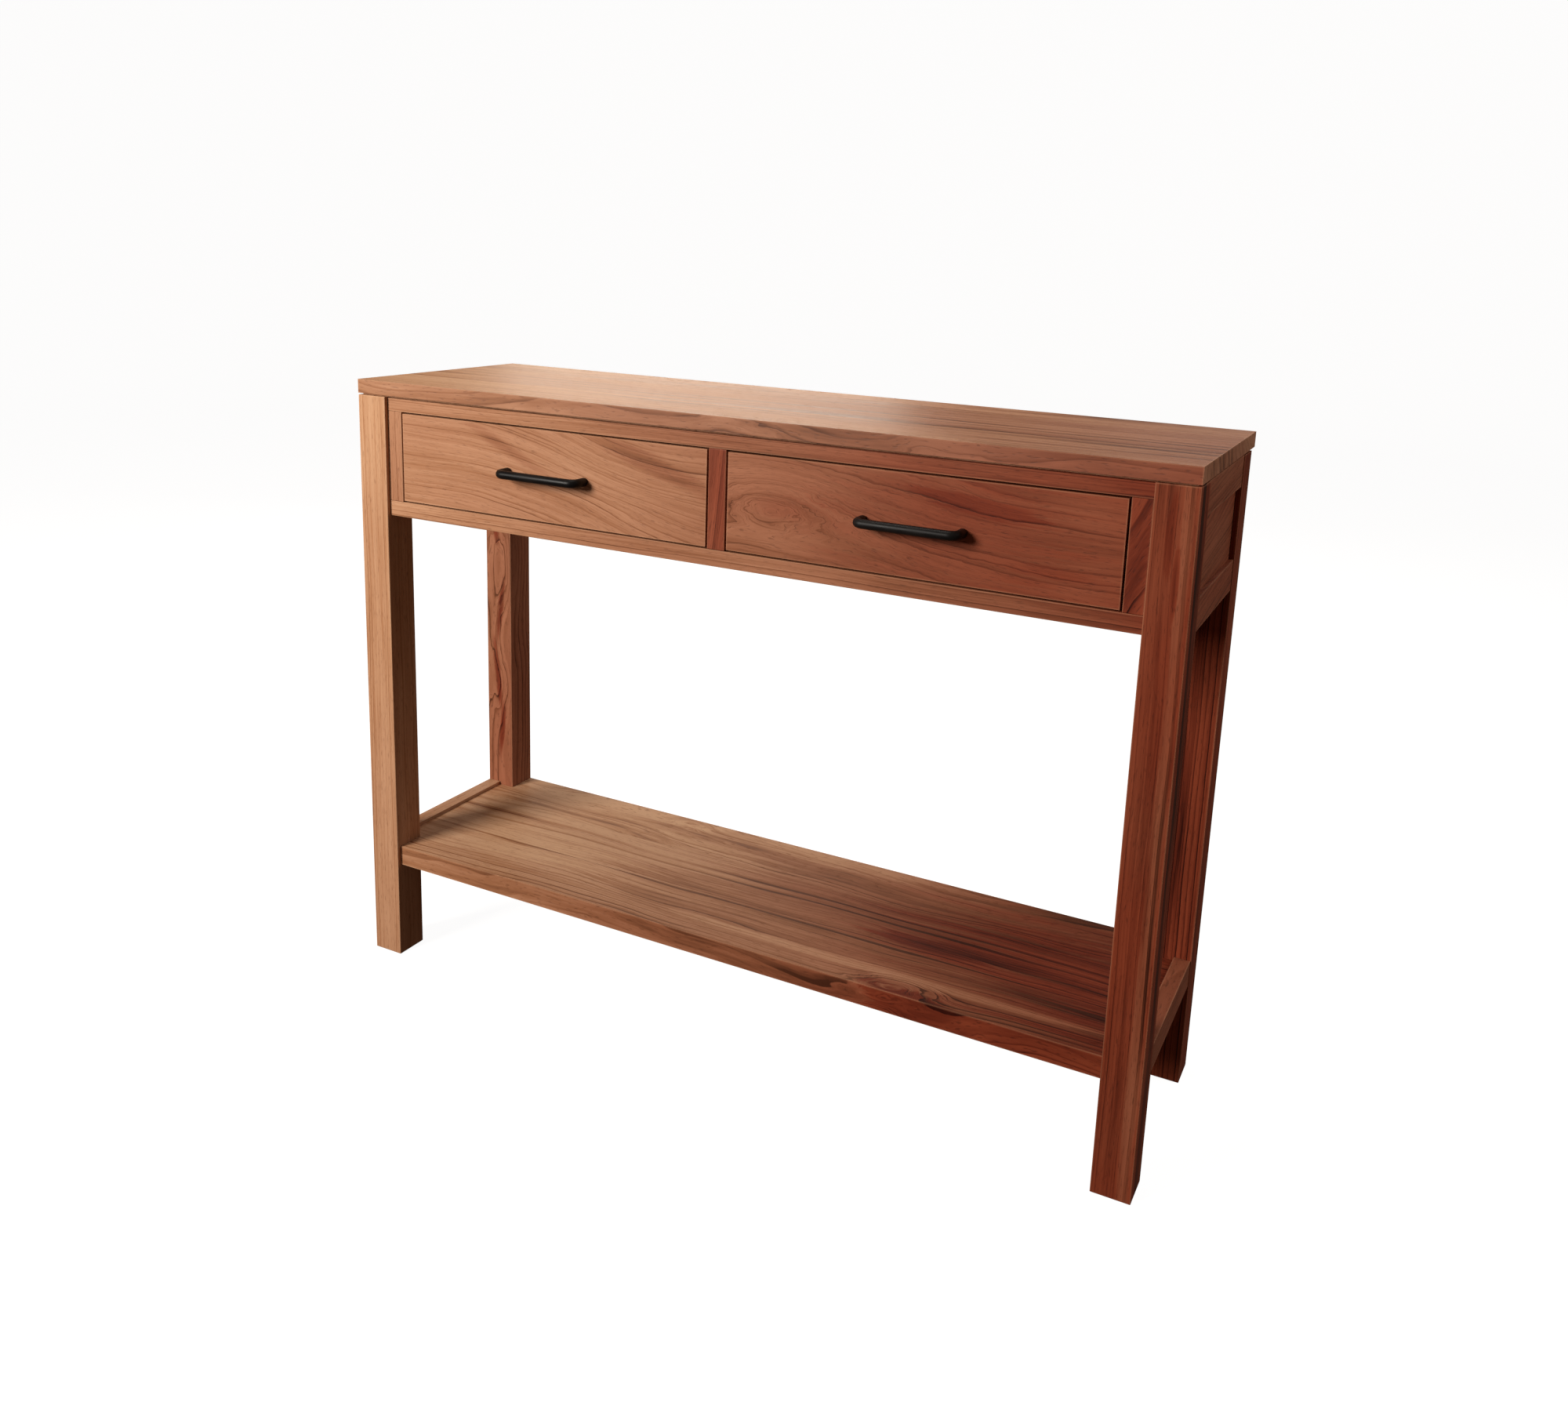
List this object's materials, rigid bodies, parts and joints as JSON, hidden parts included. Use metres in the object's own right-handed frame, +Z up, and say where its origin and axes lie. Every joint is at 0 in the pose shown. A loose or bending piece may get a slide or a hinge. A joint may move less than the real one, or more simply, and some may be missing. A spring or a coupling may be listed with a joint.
{
  "type": "console table",
  "caption": "Slim wooden console table with square legs, side-by-side inset drawers with black bar handles in a framed apron, and a low full-width shelf.",
  "frame": {"origin": "on the floor, below the middle of the whole table with its handles", "axes": "+X to the right along the table as seen from the front, +Y from the front to the back, +Z up"},
  "size_m": [1.2, 0.374, 0.9],
  "materials": {
    "teak_top": "satin oil, boards glued edge to edge, light brown with darker streaks",
    "teak_shelf": "satin oil, boards glued edge to edge",
    "teak_legs": "satin oil, straight grain along the leg",
    "teak_drawer_front": "satin oil, wide arched grain",
    "teak_frame": "satin oil",
    "drawer_wood": "plain sanded wood, unfinished",
    "runner_wood": "plain sawn and planed wood",
    "black_metal": "matt black powder coat",
    "zinc_steel": "zinc plated"
  },
  "bodies": {
    "frame": {"back_apron": "teak_frame", "drawer_stop_left_a": "runner_wood", "drawer_stop_left_b": "runner_wood", "drawer_stop_right_a": "runner_wood", "drawer_stop_right_b": "runner_wood", "end_bottom_rail_left": "teak_frame", "end_bottom_rail_right": "teak_frame", "end_panel_left": "teak_frame", "end_panel_right": "teak_frame", "end_top_rail_left": "teak_frame", "end_top_rail_right": "teak_frame", "front_bottom_rail": "teak_frame", "front_divider": "teak_frame", "front_stile_left": "teak_frame", "front_stile_right": "teak_frame", "front_top_rail": "teak_frame", "guide_centre": "runner_wood", "guide_left": "runner_wood", "guide_right": "runner_wood", "kicker_centre": "runner_wood", "kicker_left": "runner_wood", "kicker_right": "runner_wood", "leg_back_left": "teak_legs", "leg_back_right": "teak_legs", "leg_front_left": "teak_legs", "leg_front_right": "teak_legs", "runner_centre": "runner_wood", "runner_left": "runner_wood", "runner_right": "runner_wood", "shelf_panel": "teak_shelf", "shelf_rail_left": "teak_frame", "shelf_rail_right": "teak_frame", "top_panel": "teak_top", "top_screw_1": "zinc_steel", "top_screw_2": "zinc_steel", "top_screw_3": "zinc_steel", "top_screw_4": "zinc_steel", "top_screw_5": "zinc_steel", "top_screw_6": "zinc_steel"},
    "drawer_left": {"drawer_left_back": "drawer_wood", "drawer_left_bottom": "drawer_wood", "drawer_left_bottom_screw": "zinc_steel", "drawer_left_front": "teak_drawer_front", "drawer_left_handle": "black_metal", "drawer_left_handle_screw_left": "zinc_steel", "drawer_left_handle_screw_right": "zinc_steel", "drawer_left_side_left": "drawer_wood", "drawer_left_side_right": "drawer_wood"},
    "drawer_right": {"drawer_right_back": "drawer_wood", "drawer_right_bottom": "drawer_wood", "drawer_right_bottom_screw": "zinc_steel", "drawer_right_front": "teak_drawer_front", "drawer_right_handle": "black_metal", "drawer_right_handle_screw_left": "zinc_steel", "drawer_right_handle_screw_right": "zinc_steel", "drawer_right_side_left": "drawer_wood", "drawer_right_side_right": "drawer_wood"}
  },
  "joints": [
    {"name": "drawer_left_slide", "type": "slide", "parent": "frame", "child": "drawer_left", "axis": [0, -1, 0], "range_m": [0, 0.2]},
    {"name": "drawer_right_slide", "type": "slide", "parent": "frame", "child": "drawer_right", "axis": [0, -1, 0], "range_m": [0, 0.2]}
  ]
}
